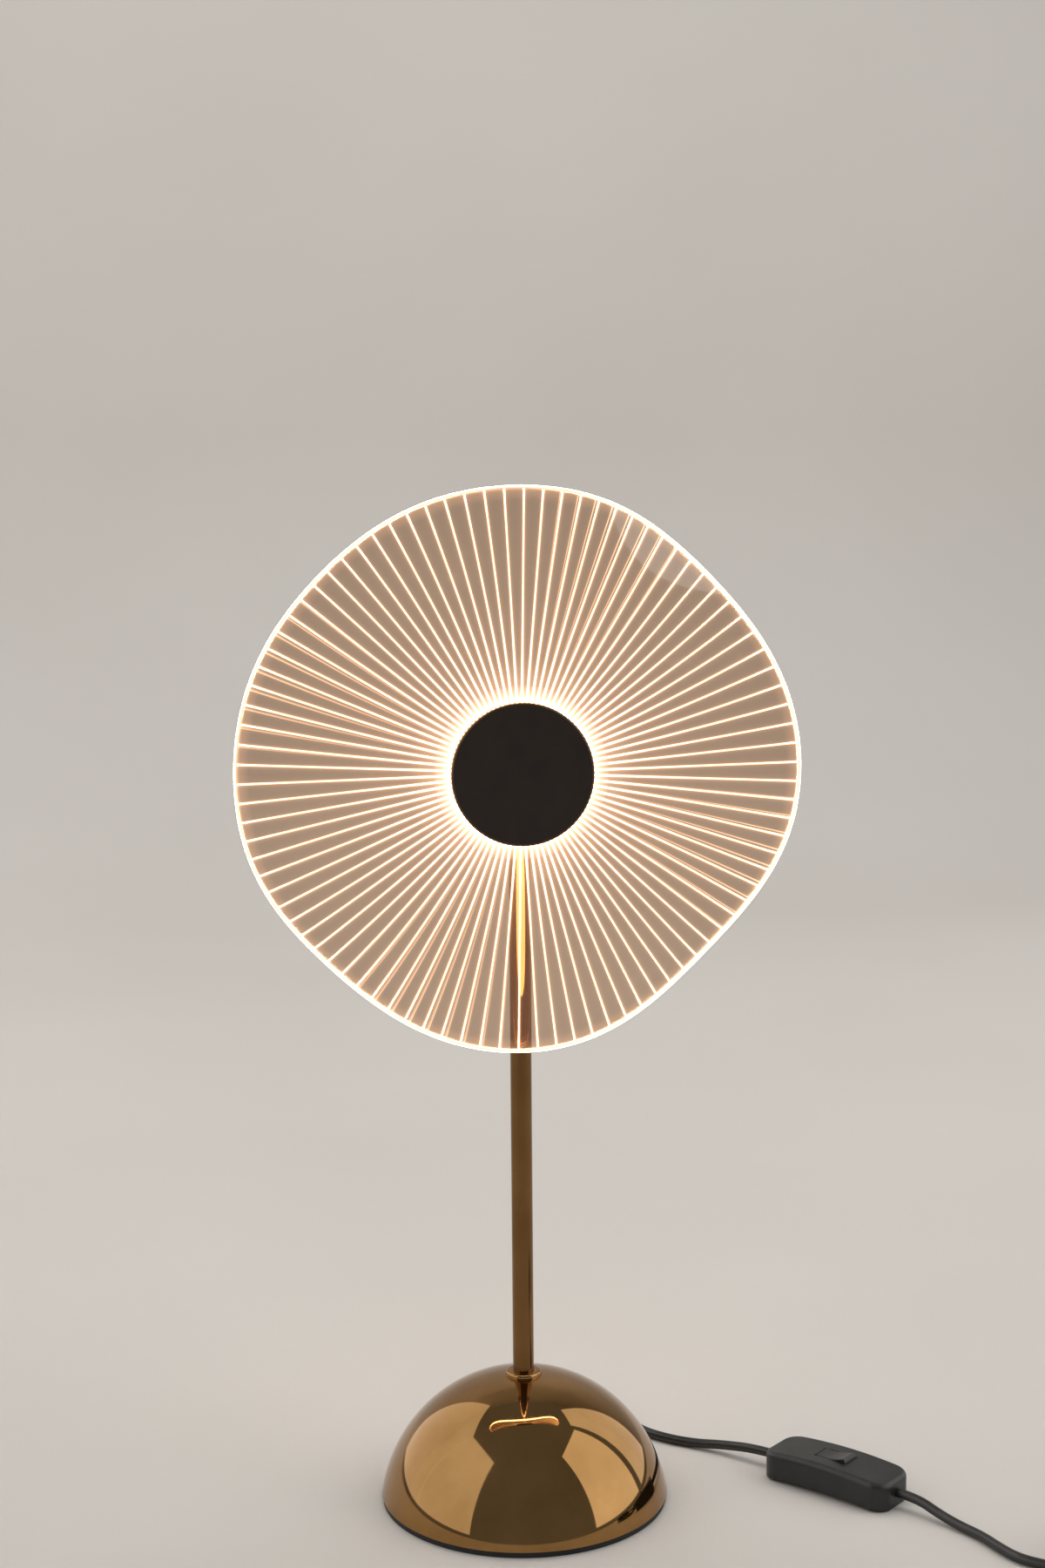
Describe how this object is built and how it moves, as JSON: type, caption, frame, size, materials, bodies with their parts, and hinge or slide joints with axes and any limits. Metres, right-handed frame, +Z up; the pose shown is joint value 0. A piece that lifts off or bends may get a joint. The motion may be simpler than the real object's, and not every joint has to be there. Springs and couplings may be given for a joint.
{
  "type": "table lamp",
  "caption": "Table lamp with a clear engraved acrylic sheet formed into gentle lobes, lit from its inner edge by LEDs in a hub on a thin pole, a domed base, and a rocker switch on its cord.",
  "frame": {"origin": "on the table, under the pole's axis, at the centre of the foot", "axes": "+Z up along the pole, -Y the way the lit sheet faces, +X to the right of someone who faces it"},
  "size_m": [0.4852, 0.2896, 0.527],
  "materials": {
    "foot_rubber": "matte",
    "bronze_mirror": "mirror polished bronze tone",
    "pole_bronze": "polished dark bronze tone",
    "hub_bronze": "satin dark bronze lacquer",
    "zinc_steel": "zinc plated",
    "screw_steel": "zinc plated",
    "weight_iron": "raw casting",
    "pole_brass": "turned",
    "driver_plastic": "fine texture",
    "driver_foam": "foam",
    "clamp_nylon": "smooth",
    "cord_black": "satin",
    "wire_insulation": "smooth",
    "led_wire": "smooth",
    "core_aluminium": "turned",
    "strip_white": "white solder mask",
    "led_phosphor": "lit warm white",
    "gasket_silicone": "clear silicone",
    "acrylic_clear": "clear, engraved and edge lit",
    "switch_black": "satin",
    "rocker_black": "satin",
    "contact_brass": "bright",
    "tie_black": "matte",
    "plug_black": "satin",
    "pin_nickel": "nickel plated"
  },
  "bodies": {
    "lamp": {"foot_pad": "foot_rubber", "base_dome": "bronze_mirror", "pole_collar": "bronze_mirror", "pole": "pole_bronze", "hub_back": "hub_bronze", "hub_cap": "hub_bronze", "base_plate": "zinc_steel", "dome_tabs": "zinc_steel", "pole_washer": "zinc_steel", "star_washer": "zinc_steel", "pole_nut": "zinc_steel", "pole_nipple": "zinc_steel", "plate_screws": "screw_steel", "weight_screws": "screw_steel", "driver_screws": "screw_steel", "cord_clamp_screws": "screw_steel", "block_screws": "screw_steel", "hub_screws": "screw_steel", "grub_screw": "screw_steel", "switch_screws": "screw_steel", "grip_screws": "screw_steel", "base_weight": "weight_iron", "pole_insert": "pole_brass", "pole_block": "pole_brass", "led_driver": "driver_plastic", "driver_cover": "driver_plastic", "driver_pad": "driver_foam", "cord_clamp": "clamp_nylon", "cord_grips": "clamp_nylon", "strain_relief": "cord_black", "cord_sheath": "cord_black", "switch_sheaths": "cord_black", "cord_near": "cord_black", "cord_far": "cord_black", "cord_coil": "cord_black", "cord_end": "cord_black", "mains_leads": "wire_insulation", "switch_cores": "wire_insulation", "led_leads": "led_wire", "led_plug": "led_wire", "led_core": "core_aluminium", "led_strip": "strip_white", "leds": "led_phosphor", "rear_gasket": "gasket_silicone", "front_gasket": "gasket_silicone", "acrylic_sheet": "acrylic_clear", "switch_cover": "switch_black", "switch_base": "switch_black", "feed_terminal": "contact_brass", "load_terminal": "contact_brass", "coil_tie": "tie_black", "plug_body": "plug_black", "pin_sleeves": "plug_black", "plug_pins": "pin_nickel"},
    "rocker": {"switch_rocker": "rocker_black", "rocker_plunger": "contact_brass"},
    "blade": {"contact_blade": "contact_brass"}
  },
  "joints": [
    {"name": "rocker_press", "type": "hinge", "parent": "lamp", "child": "rocker", "pos_m": [0.1639, -0.016, 0.0142], "axis": [0.7266, 0.6871, 0], "range_deg": [0, 14]},
    {"name": "blade_swing", "type": "hinge", "parent": "lamp", "child": "blade", "pos_m": [0.1639, -0.016, 0.0073], "axis": [0.7266, 0.6871, 0], "range_deg": [-7, 0]}
  ],
  "couplings": [
    {"joint": "blade_swing", "follows": "rocker_press", "ratio": -0.5}
  ]
}
